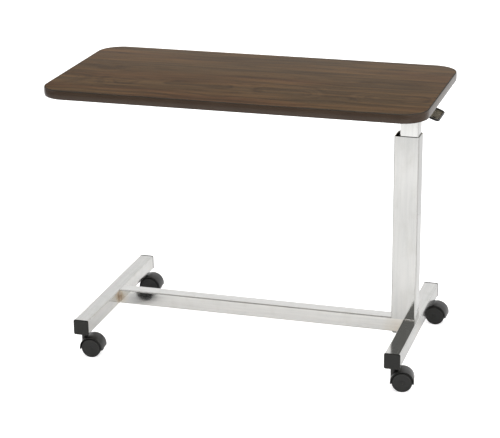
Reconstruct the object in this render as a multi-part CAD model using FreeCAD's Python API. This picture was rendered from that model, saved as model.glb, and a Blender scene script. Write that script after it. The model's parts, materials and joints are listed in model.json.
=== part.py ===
import FreeCAD, Part
import math
import os

"""Height-adjustable overbed table on an H-shaped base with four twin-wheel casters.

Millimetres, +Z up. X runs along the length of the top, with the column near the +X end, and Y runs
across its depth. The origin is on the floor, below the middle of the top. The table stands at its
lowest setting, with the release paddle free and the clutch locked.
"""

Vec = FreeCAD.Vector
X_AXIS = Vec(1, 0, 0)
Y_AXIS = Vec(0, 1, 0)
Z_AXIS = Vec(0, 0, 1)

# ---- table top ----
TOP_LENGTH = 762.0
TOP_DEPTH = 381.0
TOP_SURFACE = 553.0
TOP_THICKNESS = 18.0
TOP_CORNER = 51.0
LAMINATE = 0.8
BACKER = 0.8
BAND = 2.0
BAND_ROUNDING = 1.7
TONGUE_DEPTH = 8.0
TONGUE_HEIGHT = 2.0
TOP_UNDERSIDE = TOP_SURFACE - TOP_THICKNESS

# ---- steel tubes of the base ----
CASTER_HEIGHT = 50.0
BASE_SIDE = 30.0
BASE_ROUNDING = 2.0
TUBE_WALL = 1.5
BASE_TOP = CASTER_HEIGHT + BASE_SIDE
LEFT_FOOT_X = -307.0
RIGHT_FOOT_X = 330.5
FOOT_HALF_LENGTH = 192.0
CAP_SIDE = 32.0
CAP_FLANGE = 3.5
CAP_PLUG_LENGTH = 7.0
CAP_PLUG_WALL = 2.2
CAP_GAP = 0.1
CAP_ROUNDING = 1.4

# ---- column and mast ----
COLUMN_X = 315.0
COLUMN_WIDTH = 50.0
COLUMN_DEPTH = 40.0
COLUMN_TOP = 460.0
COLUMN_ROUNDING = 3.0
MAST_LEFT = 301.0
MAST_RIGHT = 337.5
MAST_DEPTH = 34.0
MAST_BOTTOM = 153.0
HEAD_PLATE = 3.0
MAST_TOP = TOP_UNDERSIDE - HEAD_PLATE
COLUMN_LEFT = COLUMN_X - COLUMN_WIDTH / 2
COLUMN_RIGHT = COLUMN_X + COLUMN_WIDTH / 2
SLIDE_GAP = 0.3
PLUG_GAP = 0.2
INNER_ROUNDING = 1.4

# ---- rails under the top ----
ANGLE_LEG = 20.0
ANGLE_WALL = 2.0
ANGLE_INNER_Y = 45.0
ANGLE_SPAN = (-250.0, 350.0)
STRAP_SPAN = (-250.0, -224.0)
HEAD_PLATE_SPAN = (276.0, 350.0)

# ---- height lock ----
LOCK_ROD_X = 320.0
LOCK_ROD_RADIUS = 5.0
LOCK_ROD_TOP = COLUMN_TOP - 11.0
BLOCK_HEIGHT = 15.0
LOCK_ROD_SOCKET = BASE_TOP + 3.0
STOP_GAP = 0.5
HOUSING_BOTTOM = BASE_TOP + BLOCK_HEIGHT + STOP_GAP
SPIGOT_TOP = MAST_BOTTOM + 22.0
RELEASE_ROD_X = 308.0
RELEASE_ROD_RADIUS = 2.0
CLUTCH_PIVOT = (333.0, MAST_BOTTOM - 9.4)
CLUTCH_TILT = 7.36
PLATE_THICKNESS = 2.5
PLATE_GAP = 0.1
PLATE_LENGTH = 28.5
PLATE_DEPTH = 16.0
PLATE_HOLE_RADIUS = 5.75
PLATE_HOLE_SHIFT = 0.3
CLUTCH_FLOOR = MAST_BOTTOM - 18.0

# ---- counterbalance spring ----
DRUM_X = 303.5
DRUM_Z = MAST_BOTTOM - 32.0
COIL_RADIUS = 10.6
CORE_RADIUS = 7.0
DRUM_FLANGE = 0.9
DRUM_SIDE_GAP = 0.2
STRIP_WIDTH = 12.0
STRIP_THICKNESS = 0.3
STRIP_X = 291.8
STRIP_RIGHT = STRIP_X + STRIP_THICKNESS
ANCHOR_Z = COLUMN_TOP - 25.0
ANCHOR_RADIUS = 2.0
ANCHOR_HEAD_RADIUS = 3.8
ANCHOR_HEAD = 2.4
CLIP_HEIGHT = 12.0
CLIP_X = (STRIP_RIGHT, STRIP_RIGHT + 4.0)

# ---- release lever ----
LEVER_X = 330.0
LEVER_Z = TOP_UNDERSIDE - 21.0
LEVER_SLOPE = 20.0
LEVER_THICKNESS = 3.0
LEVER_WIDTH = 18.0
LEVER_TAIL = 4.0
PADDLE_WIDTH = 70.0
PADDLE_START = 15.0
PADDLE_END = 51.5
PADDLE_THICKNESS = 4.0
PIVOT_RADIUS = 2.5
RUNNING_GAP = 0.05

# ---- casters ----
WHEEL_RADIUS = 20.0
WHEEL_WIDTH = 10.0
WHEEL_GAP = 0.5
WHEEL_ROUNDING = 2.0
WHEEL_DISH_RIM = 4.5
WHEEL_DISH = 0.8
WEB_HALF = 6.0
FENDER_OUTER = 23.2
FENDER_INNER = 21.3
FENDER_DROP = 3.0
FENDER_HALF = 17.0
CASTER_TRAIL = 16.5
CASTER_Y = 176.0
AXLE_RADIUS = 2.5
AXLE_HALF = 14.0
STEM_RADIUS = 4.0
CASTERS = {
    "front_left": (LEFT_FOOT_X, -CASTER_Y, 3.5),
    "front_right": (RIGHT_FOOT_X, -CASTER_Y, 9.5),
    "rear_left": (LEFT_FOOT_X, CASTER_Y, 2.0),
    "rear_right": (RIGHT_FOOT_X, CASTER_Y, -3.0),
}


# ---------------------------------------------------------------- helpers

PAST = 1.0  # how far a cutting shape runs past the face that it cuts
NEARLY = 0.1  # how close two values lie when they count as equal


def span(centre, size):
    return (centre - size / 2, centre + size / 2)


def shrink(limits, amount):
    return (limits[0] + amount, limits[1] - amount)


def box(x, y, z):
    """A block between two corners, each argument a (low, high) pair."""
    return Part.makeBox(x[1] - x[0], y[1] - y[0], z[1] - z[0], Vec(x[0], y[0], z[0]))


def runs_along(edge, axis):
    ends = [vertex.Point for vertex in edge.Vertexes]
    return len(ends) == 2 and abs((ends[1] - ends[0]).normalize().dot(axis)) > 1 - NEARLY


def rounded_box(x, y, z, radius, axis):
    """A block whose edges along one axis are rounded."""
    block = box(x, y, z)
    return block.makeFillet(radius, [edge for edge in block.Edges if runs_along(edge, axis)])


def tube(x, y, z, wall, radius, axis):
    """An open-ended rectangular tube along one axis."""
    spans = [x, y, z]
    inner = [pair if unit.dot(axis) > 0.5 else shrink(pair, wall)
             for pair, unit in zip(spans, (X_AXIS, Y_AXIS, Z_AXIS))]
    return rounded_box(x, y, z, radius, axis).cut(rounded_box(*inner, radius - wall, axis))


def rod(radius, start, end):
    """A round bar between two points."""
    run = end - start
    return Part.makeCylinder(radius, run.Length, start, run)


def upright(radius, x, y, z):
    return rod(radius, Vec(x, y, z[0]), Vec(x, y, z[1]))


def cross_rod(radius, x, z, y):
    """A round bar along Y."""
    return rod(radius, Vec(x, y[0], z), Vec(x, y[1], z))


def fuse(first, *others):
    return first.fuse(list(others)).removeSplitter()


def group(pieces):
    return Part.makeCompound(pieces)


def compression_spring(x, z, coil_radius, wire_radius, turns):
    """A helical spring standing between two heights, with open ends."""
    low, high = z[0] + wire_radius, z[1] - wire_radius
    pitch = (high - low) / turns
    helix = Part.makeHelix(pitch, high - low, coil_radius)
    section = Part.Wire(Part.makeCircle(wire_radius, Vec(coil_radius, 0, 0), Y_AXIS))
    coil = Part.Wire(helix).makePipeShell([section], True, True)
    coil.translate(Vec(x, 0, low))
    return coil


# ---------------------------------------------------------------- table top

def top_slab(inset, z):
    """A slab with the plan of the top, brought in all round."""
    return rounded_box(span(0, TOP_LENGTH - 2 * inset), span(0, TOP_DEPTH - 2 * inset), z,
                       TOP_CORNER - inset, Z_AXIS)


TONGUE_Z = span(TOP_UNDERSIDE + TOP_THICKNESS / 2, TONGUE_HEIGHT)
CORE_Z = (TOP_UNDERSIDE + BACKER, TOP_SURFACE - LAMINATE)


def top_core():
    groove = top_slab(BAND, TONGUE_Z).cut(top_slab(BAND + TONGUE_DEPTH, TONGUE_Z))
    return top_slab(BAND, CORE_Z).cut(groove)


def edge_band():
    """A moulded strip round the rim, held by a tongue in the core's groove."""
    slab = top_slab(0, (TOP_UNDERSIDE, TOP_SURFACE))
    rims = [edge for edge in slab.Edges if edge.BoundBox.ZLength < NEARLY]
    slab = slab.makeFillet(BAND_ROUNDING, rims)
    band = slab.cut(top_slab(BAND, (TOP_UNDERSIDE, TOP_SURFACE)))
    tongue = top_slab(BAND, TONGUE_Z).cut(top_slab(BAND + TONGUE_DEPTH, TONGUE_Z))
    return fuse(band, tongue)


# ---------------------------------------------------------------- rails and mast

SCREW_RADIUS = 2.0
SCREW_HEAD_RADIUS = 4.0
SCREW_HEAD = 2.2
SCREW_LENGTH = 13.0
RECESS_LENGTH = 4.0
RECESS_WIDTH = 0.9
RECESS_DEPTH = 1.2
RAIL_SCREW_X = (-236.0, -120.0, 0.0, 120.0, 240.0, 338.0)
PLATE_SCREW_X = (284.0, 342.0)
PLATE_SCREW_Y = 34.0
RAIL_SCREW_Y = ANGLE_INNER_Y + ANGLE_LEG / 2 + 1


def screw_places():
    """Centre of each screw under the top, with the height of the plate that its head bears on."""
    rails = [(x, side * RAIL_SCREW_Y, TOP_UNDERSIDE - ANGLE_WALL)
             for x in RAIL_SCREW_X for side in (-1, 1)]
    plate = [(x, side * PLATE_SCREW_Y, MAST_TOP) for x in PLATE_SCREW_X for side in (-1, 1)]
    return rails + plate


def drilled(shape):
    """Clears a steel plate for the shanks of the wood screws."""
    return shape.cut([upright(SCREW_RADIUS, x, y, (seat - PAST, TOP_UNDERSIDE + PAST))
                      for x, y, seat in screw_places()])


def screwed(shape):
    """Threads the board for the wood screws."""
    return shape.cut([upright(SCREW_RADIUS, x, y, (TOP_UNDERSIDE - PAST, seat + SCREW_LENGTH))
                      for x, y, seat in screw_places()])


def top_screws():
    screws = []
    for x, y, seat in screw_places():
        shank = upright(SCREW_RADIUS, x, y, (seat, seat + SCREW_LENGTH))
        head = upright(SCREW_HEAD_RADIUS, x, y, (seat - SCREW_HEAD, seat))
        lower_rim = [edge for edge in head.Edges if edge.BoundBox.ZMax < seat - SCREW_HEAD / 2]
        head = head.makeFillet(SCREW_HEAD / 2, lower_rim)
        recess_z = (seat - SCREW_HEAD, seat - SCREW_HEAD + RECESS_DEPTH)
        recess = [box(span(x, RECESS_LENGTH), span(y, RECESS_WIDTH), recess_z),
                  box(span(x, RECESS_WIDTH), span(y, RECESS_LENGTH), recess_z)]
        screws.append(fuse(head, shank).cut(recess))
    return group(screws)


def support_angle(side):
    """A steel angle: one leg flat under the top, the other standing down beside the mast."""
    inner = ANGLE_INNER_Y
    flat_y = sorted((side * inner, side * (inner + ANGLE_LEG)))
    web_y = sorted((side * inner, side * (inner + ANGLE_WALL)))
    flat = box(ANGLE_SPAN, flat_y, (TOP_UNDERSIDE - ANGLE_WALL, TOP_UNDERSIDE))
    web = box(ANGLE_SPAN, web_y, (TOP_UNDERSIDE - ANGLE_LEG, TOP_UNDERSIDE))
    return drilled(fuse(flat, web))


def cross_strap():
    return box(STRAP_SPAN, span(0, 2 * ANGLE_INNER_Y), (TOP_UNDERSIDE - ANGLE_WALL, TOP_UNDERSIDE))


def head_plate():
    return drilled(box(HEAD_PLATE_SPAN, span(0, 2 * ANGLE_INNER_Y), (MAST_TOP, TOP_UNDERSIDE)))


MAST_X = (MAST_LEFT, MAST_RIGHT)
MAST_Y = span(0, MAST_DEPTH)
PIN_HEAD = 1.5
PIN_HEAD_RADIUS = 4.5
LEVER_SLOT_Y = span(0, LEVER_WIDTH + 4.0)
LEVER_SLOT_Z = (LEVER_Z - 8.0, LEVER_Z + 3.5)
HOUSING_RIVET_X = 330.0
HOUSING_RIVET_Z = MAST_BOTTOM + 11.0
HOUSING_RIVET_RADIUS = 1.8
HOUSING_RIVET_DEPTH = 7.0
HOUSING_RIVET_HEAD_RADIUS = 3.0
HOUSING_RIVET_HEAD = 0.7


def mast_tube():
    mast = tube(MAST_X, MAST_Y, (MAST_BOTTOM, MAST_TOP), TUBE_WALL, COLUMN_ROUNDING, Z_AXIS)
    slot = box((MAST_RIGHT - 2 * TUBE_WALL, MAST_RIGHT + PAST), LEVER_SLOT_Y, LEVER_SLOT_Z)
    across = shrink(MAST_Y, -PAST)
    pivot_hole = cross_rod(PIVOT_RADIUS, LEVER_X, LEVER_Z, across)
    rivet_hole = cross_rod(HOUSING_RIVET_RADIUS, HOUSING_RIVET_X, HOUSING_RIVET_Z, across)
    return mast.cut([slot, pivot_hole, rivet_hole])


def lever_pivot_pin():
    half = MAST_DEPTH / 2
    pin = cross_rod(PIVOT_RADIUS, LEVER_X, LEVER_Z, (-half, half))
    heads = [cross_rod(PIN_HEAD_RADIUS, LEVER_X, LEVER_Z, (half, half + PIN_HEAD)),
             cross_rod(PIN_HEAD_RADIUS, LEVER_X, LEVER_Z, (-half - PIN_HEAD, -half))]
    return fuse(pin, *heads)


# ---------------------------------------------------------------- clutch and release

INSIDE_MAST_X = shrink(MAST_X, TUBE_WALL + PLUG_GAP)
INSIDE_MAST_Y = shrink(MAST_Y, TUBE_WALL + PLUG_GAP)
INSIDE_COLUMN_X = shrink((COLUMN_LEFT, COLUMN_RIGHT), TUBE_WALL + SLIDE_GAP)
INSIDE_COLUMN_Y = span(0, COLUMN_DEPTH - 2 * (TUBE_WALL + SLIDE_GAP))
LOCK_BORE = 5.5
ROD_BORE = 2.3
CLUTCH_LEFT = 303.0
CLUTCH_RIGHT = 336.4
CLUTCH_CEILING = MAST_BOTTOM - 1.0
LEDGE_LEFT = CLUTCH_PIVOT[0] - 0.4
LEDGE_BOTTOM = CLUTCH_PIVOT[1] + 0.1
DRUM_BAY_Z = span(DRUM_Z, 24.0)
DRUM_BAY_RIGHT = 314.7
BAY_Y = span(0, 18.0)
STRIP_SLOT_DEPTH = 1.6
STRIP_SLOT_WIDTH = STRIP_WIDTH + 3.0
PIN_RADIUS = 2.0


def clutch_housing():
    """The slide block at the mast's foot: it guides the mast and holds the clutch and the drum."""
    body = rounded_box(INSIDE_COLUMN_X, INSIDE_COLUMN_Y, (HOUSING_BOTTOM, MAST_BOTTOM),
                       INNER_ROUNDING, Z_AXIS)
    spigot = rounded_box(INSIDE_MAST_X, INSIDE_MAST_Y, (MAST_BOTTOM, SPIGOT_TOP),
                         INNER_ROUNDING, Z_AXIS)
    left = INSIDE_COLUMN_X[0]
    bay = box((left - PAST, DRUM_BAY_RIGHT), BAY_Y, DRUM_BAY_Z)
    strip_slot = box((left - PAST, left + STRIP_SLOT_DEPTH), span(0, STRIP_SLOT_WIDTH),
                     (HOUSING_BOTTOM - PAST, MAST_BOTTOM + PAST))
    clutch_bay = box((CLUTCH_LEFT, CLUTCH_RIGHT), BAY_Y, (CLUTCH_FLOOR, CLUTCH_CEILING))
    ledge = box((LEDGE_LEFT, CLUTCH_RIGHT), BAY_Y, (LEDGE_BOTTOM, CLUTCH_CEILING))
    bores = [upright(LOCK_BORE, LOCK_ROD_X, 0, (HOUSING_BOTTOM - PAST, SPIGOT_TOP + PAST)),
             upright(ROD_BORE, RELEASE_ROD_X, 0, (CLUTCH_CEILING - PAST, SPIGOT_TOP + PAST)),
             cross_rod(PIN_RADIUS, DRUM_X, DRUM_Z, span(0, COLUMN_DEPTH)),
             cross_rod(HOUSING_RIVET_RADIUS, HOUSING_RIVET_X, HOUSING_RIVET_Z, span(0, MAST_DEPTH))]
    return fuse(body, spigot).cut([bay, strip_slot, clutch_bay.cut(ledge)] + bores)


def housing_rivets():
    half = MAST_DEPTH / 2
    rivets = []
    for side in (-1, 1):
        shank = cross_rod(HOUSING_RIVET_RADIUS, HOUSING_RIVET_X, HOUSING_RIVET_Z,
                          sorted((side * (half - HOUSING_RIVET_DEPTH), side * half)))
        head = cross_rod(HOUSING_RIVET_HEAD_RADIUS, HOUSING_RIVET_X, HOUSING_RIVET_Z,
                         sorted((side * half, side * (half + HOUSING_RIVET_HEAD))))
        rivets.append(fuse(shank, head))
    return group(rivets)


def clutch_plates():
    """Two canting plates round the lock rod, tilted so that they bite."""
    right, top = CLUTCH_PIVOT
    plates = []
    for index in range(2):
        high = top - index * (PLATE_THICKNESS + PLATE_GAP)
        plate = box((right - PLATE_LENGTH, right), span(0, PLATE_DEPTH), (high - PLATE_THICKNESS, high))
        plate.rotate(Vec(right, 0, top), Y_AXIS, CLUTCH_TILT)
        plates.append(plate)
    tilt = math.radians(CLUTCH_TILT)
    along = Vec(math.sin(tilt), 0, math.cos(tilt))
    reach = (right - LOCK_ROD_X) / math.cos(tilt) - PLATE_HOLE_SHIFT
    middle = Vec(right, 0, top) - Vec(math.cos(tilt), 0, -math.sin(tilt)) * reach
    bore = rod(PLATE_HOLE_RADIUS, middle - along * PLATE_DEPTH, middle + along * PLATE_DEPTH)
    return group([plate.cut(bore) for plate in plates])


ROD_TOP = LEVER_Z - LEVER_THICKNESS / 2 - SLIDE_GAP
ROD_BOTTOM = CLUTCH_PIVOT[1] + 3.9
GUIDE_Z = (LEVER_Z - 41.0, LEVER_Z - 29.0)
COLLAR_Z = (LEVER_Z - 13.0, LEVER_Z - 11.0)
COLLAR_RADIUS = 4.2
ROD_SPRING = {"coil_radius": 3.4, "wire_radius": 0.5, "turns": 6}
PLATE_SPRING = {"coil_radius": 2.8, "wire_radius": 0.45, "turns": 4}
PLATE_SPRING_HEIGHT = 5.8


def release_rod():
    shaft = upright(RELEASE_ROD_RADIUS, RELEASE_ROD_X, 0, (ROD_BOTTOM, ROD_TOP))
    collar = upright(COLLAR_RADIUS, RELEASE_ROD_X, 0, COLLAR_Z)
    return fuse(shaft, collar)


def release_rod_guide():
    plug = rounded_box(INSIDE_MAST_X, INSIDE_MAST_Y, GUIDE_Z, INNER_ROUNDING, Z_AXIS)
    return plug.cut(upright(RELEASE_ROD_RADIUS + RUNNING_GAP, RELEASE_ROD_X, 0, shrink(GUIDE_Z, -PAST)))


def release_rod_spring():
    return compression_spring(RELEASE_ROD_X, (GUIDE_Z[1], COLLAR_Z[0]), **ROD_SPRING)


def clutch_spring():
    height = (CLUTCH_FLOOR, CLUTCH_FLOOR + PLATE_SPRING_HEIGHT)
    return compression_spring(RELEASE_ROD_X, height, **PLATE_SPRING)


def lock_rod():
    return upright(LOCK_ROD_RADIUS, LOCK_ROD_X, 0, (LOCK_ROD_SOCKET, LOCK_ROD_TOP))


# ---------------------------------------------------------------- counterbalance spring

def spring_drum():
    outer = STRIP_WIDTH / 2 + DRUM_SIDE_GAP
    core = cross_rod(CORE_RADIUS, DRUM_X, DRUM_Z, (-outer, outer))
    flanges = [cross_rod(COIL_RADIUS - 1, DRUM_X, DRUM_Z,
                         sorted((side * outer, side * (outer + DRUM_FLANGE)))) for side in (-1, 1)]
    bore = cross_rod(PIN_RADIUS + RUNNING_GAP, DRUM_X, DRUM_Z, span(0, COLUMN_DEPTH))
    return fuse(core, *flanges).cut(bore)


def spring_coil():
    coil = cross_rod(COIL_RADIUS, DRUM_X, DRUM_Z, span(0, STRIP_WIDTH))
    return coil.cut(cross_rod(CORE_RADIUS, DRUM_X, DRUM_Z, span(0, STRIP_WIDTH + 2 * PAST)))


def drum_pin():
    return cross_rod(PIN_RADIUS, DRUM_X, DRUM_Z, shrink(INSIDE_COLUMN_Y, PLUG_GAP))


def anchor_hole():
    """Where the anchor screw passes through the column's wall, the strip and the clip."""
    return rod(ANCHOR_RADIUS, Vec(COLUMN_LEFT - PAST, 0, ANCHOR_Z), Vec(CLIP_X[1] + PAST, 0, ANCHOR_Z))


def spring_strip():
    strip = box((STRIP_X, STRIP_RIGHT), span(0, STRIP_WIDTH), (DRUM_Z, ANCHOR_Z + CLIP_HEIGHT / 2))
    return strip.cut(anchor_hole())


def strip_anchor_clip():
    return box(CLIP_X, span(0, STRIP_WIDTH), span(ANCHOR_Z, CLIP_HEIGHT)).cut(anchor_hole())


def strip_anchor_screw():
    seat = Vec(COLUMN_LEFT, 0, ANCHOR_Z)
    shank = rod(ANCHOR_RADIUS, seat, Vec(CLIP_X[1] - STOP_GAP, 0, ANCHOR_Z))
    head = rod(ANCHOR_HEAD_RADIUS, seat - X_AXIS * ANCHOR_HEAD, seat)
    outer_rim = [edge for edge in head.Edges if edge.BoundBox.XMax < COLUMN_LEFT - ANCHOR_HEAD / 2]
    return fuse(head.makeFillet(ANCHOR_HEAD / 2, outer_rim), shank)


# ---------------------------------------------------------------- lever

def tipped(shape):
    """Places a piece drawn level, with its pivot at the origin, on the sloping lever."""
    shape.rotate(Vec(0, 0, 0), Y_AXIS, LEVER_SLOPE)
    shape.translate(Vec(LEVER_X, 0, LEVER_Z))
    return shape


BOSS_SPAN = (19.0, 49.0)
BOSS_Y = span(0, 26.0)
BOSS_BOTTOM = -3.6
PADDLE_LOW = LEVER_THICKNESS / 2 + 0.2
PADDLE_HIGH = PADDLE_LOW + PADDLE_THICKNESS
ARM_END = 46.0
PADDLE_RIVETS = (26.0, 40.0)
PADDLE_RIVET_RADIUS = 2.0
PADDLE_RIVET_HEAD_RADIUS = 3.4
PADDLE_RIVET_HEAD = 0.9
PADDLE_CORNER = 7.0
PADDLE_RIM = 4.0
PADDLE_ROUNDING = 1.2
PADDLE_DISH = 1.2
HUB_RADIUS = 4.5
HUB_WIDTH = 24.0


def lever_arm():
    half = LEVER_THICKNESS / 2
    outer = tipped(box((0, ARM_END), span(0, LEVER_WIDTH), (-half, half)))
    inner = box((RELEASE_ROD_X - LEVER_TAIL, LEVER_X), span(0, LEVER_WIDTH),
                span(LEVER_Z, LEVER_THICKNESS))
    hub = cross_rod(HUB_RADIUS, LEVER_X, LEVER_Z, span(0, HUB_WIDTH))
    bore = cross_rod(PIVOT_RADIUS + RUNNING_GAP, LEVER_X, LEVER_Z, span(0, HUB_WIDTH + 2 * PAST))
    rivets = [tipped(upright(PADDLE_RIVET_RADIUS, x, 0, (-half - PAST, half + PAST)))
              for x in PADDLE_RIVETS]
    return fuse(outer, inner, hub).cut([bore] + rivets)


def lever_paddle():
    """The moulded paddle: a dished plate with rounded corners over a boss that takes the arm."""
    plate = rounded_box((PADDLE_START, PADDLE_END), span(0, PADDLE_WIDTH), (PADDLE_LOW, PADDLE_HIGH),
                        PADDLE_CORNER, Z_AXIS)
    upper_rim = [edge for edge in plate.Edges if edge.BoundBox.ZMin > PADDLE_HIGH - NEARLY]
    plate = plate.makeFillet(PADDLE_ROUNDING, upper_rim)
    dish = rounded_box(shrink((PADDLE_START, PADDLE_END), PADDLE_RIM),
                       span(0, PADDLE_WIDTH - 2 * PADDLE_RIM),
                       (PADDLE_HIGH - PADDLE_DISH, PADDLE_HIGH + PAST), PADDLE_CORNER - PADDLE_RIM, Z_AXIS)
    boss = box(BOSS_SPAN, BOSS_Y, (BOSS_BOTTOM, PADDLE_LOW))
    slot = box((BOSS_SPAN[0] - PAST, ARM_END), span(0, LEVER_WIDTH), span(0, LEVER_THICKNESS))
    rivets = [upright(PADDLE_RIVET_RADIUS, x, 0, (BOSS_BOTTOM - PAST, PADDLE_LOW)) for x in PADDLE_RIVETS]
    return tipped(fuse(plate.cut(dish), boss).cut([slot] + rivets))


def paddle_rivets():
    rivets = []
    for x in PADDLE_RIVETS:
        shank = upright(PADDLE_RIVET_RADIUS, x, 0, (BOSS_BOTTOM, PADDLE_LOW))
        head = upright(PADDLE_RIVET_HEAD_RADIUS, x, 0, (BOSS_BOTTOM - PADDLE_RIVET_HEAD, BOSS_BOTTOM))
        rivets.append(tipped(fuse(shank, head)))
    return group(rivets)


# ---------------------------------------------------------------- column

def outer_column():
    column = tube((COLUMN_LEFT, COLUMN_RIGHT), span(0, COLUMN_DEPTH), (BASE_TOP, COLUMN_TOP),
                  TUBE_WALL, COLUMN_ROUNDING, Z_AXIS)
    return column.cut(anchor_hole())


BUSH_Z = (COLUMN_TOP - 15.0, COLUMN_TOP)
BUSH_GAP = 0.1
BUSH_PAD_Y = 7.0
BUSH_PAD_TOP = COLUMN_TOP + 2.0
BUSH_PAD_INSET = 1.4


def column_guide_bush():
    """The plastic liner in the column's mouth, open on the left where the spring strip runs."""
    x = shrink((COLUMN_LEFT, COLUMN_RIGHT), TUBE_WALL + BUSH_GAP)
    y = span(0, COLUMN_DEPTH - 2 * (TUBE_WALL + BUSH_GAP))
    liner = rounded_box(x, y, BUSH_Z, INNER_ROUNDING, Z_AXIS)
    through = (BUSH_Z[0] - PAST, BUSH_PAD_TOP + PAST)
    mouth = box(shrink(MAST_X, -SLIDE_GAP), shrink(MAST_Y, -SLIDE_GAP), through)
    well = box((x[0] - PAST, MAST_LEFT - SLIDE_GAP), (y[0] - PAST, BUSH_PAD_Y), through)
    pad = box((x[0] + BUSH_PAD_INSET, MAST_LEFT - SLIDE_GAP), (BUSH_PAD_Y, y[1] - BUSH_PAD_INSET),
              (COLUMN_TOP, BUSH_PAD_TOP))
    return fuse(liner, pad).cut([mouth, well])


BOLT_RADIUS = 3.0
BOLT_X = (295.5, 332.0)
BOLT_FLANGE_RADIUS = 6.5
BOLT_FLANGE = 1.2
BOLT_HEX_FLATS = 12.0
BOLT_HEX = 5.5
BOLT_GRIP = 10.0


def column_foot_block():
    x = shrink((COLUMN_LEFT, COLUMN_RIGHT), TUBE_WALL)
    y = span(0, COLUMN_DEPTH - 2 * TUBE_WALL)
    block = rounded_box(x, y, (BASE_TOP, BASE_TOP + BLOCK_HEIGHT), COLUMN_ROUNDING - TUBE_WALL, Z_AXIS)
    holes = [upright(BOLT_RADIUS, bolt_x, 0, (BASE_TOP - PAST, BASE_TOP + BOLT_GRIP + PAST))
             for bolt_x in BOLT_X]
    socket = upright(LOCK_ROD_RADIUS, LOCK_ROD_X, 0, (LOCK_ROD_SOCKET, BASE_TOP + BLOCK_HEIGHT + PAST))
    return block.cut(holes + [socket])


def hexagon(flats, x, y, z):
    corner = flats / math.sqrt(3)
    angles = [math.radians(60 * side) for side in range(7)]
    points = [Vec(x + corner * math.cos(angle), y + corner * math.sin(angle), z[0]) for angle in angles]
    return Part.Face(Part.makePolygon(points)).extrude(Z_AXIS * (z[1] - z[0]))


def base_bolts():
    """Two flange bolts that pull the column down through the base tubes."""
    bolts = []
    for x in BOLT_X:
        flange_low = CASTER_HEIGHT - BOLT_FLANGE
        shank = upright(BOLT_RADIUS, x, 0, (CASTER_HEIGHT, BASE_TOP + BOLT_GRIP))
        flange = upright(BOLT_FLANGE_RADIUS, x, 0, (flange_low, CASTER_HEIGHT))
        head = hexagon(BOLT_HEX_FLATS, x, 0, (flange_low - BOLT_HEX, flange_low))
        bolts.append(fuse(shank, flange, head))
    return group(bolts)


# ---------------------------------------------------------------- base

BASE_Z = (CASTER_HEIGHT, BASE_TOP)
NUT_RADIUS = 5.5
NUT_FLANGE_RADIUS = 6.6
NUT_FLANGE = 1.0
NUT_HEIGHT = 13.0
WELD_LEG = 2.6
CROSSBAR_X = (LEFT_FOOT_X + BASE_SIDE / 2, RIGHT_FOOT_X - BASE_SIDE / 2)


def bolt_hole(x):
    return upright(BOLT_RADIUS, x, 0, shrink(BASE_Z, -PAST))


def foot(x):
    """One foot tube, drilled for its two caster nuts."""
    bar = tube(span(x, BASE_SIDE), (-FOOT_HALF_LENGTH, FOOT_HALF_LENGTH), BASE_Z,
               TUBE_WALL, BASE_ROUNDING, Y_AXIS)
    nuts = [upright(NUT_RADIUS, x, side * CASTER_Y, (CASTER_HEIGHT - PAST, CASTER_HEIGHT + 2 * TUBE_WALL))
            for side in (-1, 1)]
    return bar.cut(nuts)


def crossbar():
    bar = tube(CROSSBAR_X, span(0, BASE_SIDE), BASE_Z, TUBE_WALL, BASE_ROUNDING, X_AXIS)
    return bar.cut(bolt_hole(BOLT_X[0]))


def base_welds():
    """Fillet beads up the four inside corners where the crossbar meets the feet."""
    beads = []
    for x, inward in ((CROSSBAR_X[0], 1), (CROSSBAR_X[1], -1)):
        for side in (-1, 1):
            y = side * BASE_SIDE / 2
            z = shrink(BASE_Z, BASE_ROUNDING)
            corner = box(sorted((x, x + inward * WELD_LEG)), sorted((y, y + side * WELD_LEG)), z)
            beads.append(corner.common(upright(WELD_LEG, x, y, z)))
    return group(beads)


def end_cap(x, side):
    """A moulded cap: a flange a little larger than the tube, and a hollow plug inside it."""
    low, high = sorted((side * FOOT_HALF_LENGTH, side * (FOOT_HALF_LENGTH + CAP_FLANGE)))
    centre_z = CASTER_HEIGHT + BASE_SIDE / 2
    flange = rounded_box(span(x, CAP_SIDE), (low, high), span(centre_z, CAP_SIDE), BASE_ROUNDING, Y_AXIS)
    face_y = side * (FOOT_HALF_LENGTH + CAP_FLANGE)
    rim = [edge for edge in flange.Edges if abs(edge.BoundBox.YMin - face_y) < NEARLY
           and edge.BoundBox.YLength < NEARLY]
    flange = flange.makeFillet(CAP_ROUNDING, rim)
    inner = BASE_SIDE - 2 * (TUBE_WALL + CAP_GAP)
    plug_y = sorted((side * (FOOT_HALF_LENGTH - CAP_PLUG_LENGTH), side * FOOT_HALF_LENGTH))
    plug = rounded_box(span(x, inner), plug_y, span(centre_z, inner), INNER_ROUNDING, Y_AXIS)
    hollow_size = inner - 2 * CAP_PLUG_WALL
    hollow = box(span(x, hollow_size), plug_y, span(centre_z, hollow_size))
    return fuse(flange, plug.cut(hollow))


def caster_places():
    return [(x, y) for x, y, _ in CASTERS.values()]


def caster_stem_nuts():
    nuts = []
    for x, y in caster_places():
        body = upright(NUT_RADIUS, x, y, (CASTER_HEIGHT, CASTER_HEIGHT + NUT_HEIGHT))
        flange = upright(NUT_FLANGE_RADIUS, x, y, (CASTER_HEIGHT - NUT_FLANGE, CASTER_HEIGHT))
        through = (CASTER_HEIGHT - NUT_FLANGE - PAST, CASTER_HEIGHT + NUT_HEIGHT + PAST)
        thread = upright(STEM_RADIUS, x, y, through)
        nuts.append(fuse(body, flange).cut(thread))
    return group(nuts)


# ---------------------------------------------------------------- casters

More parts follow.
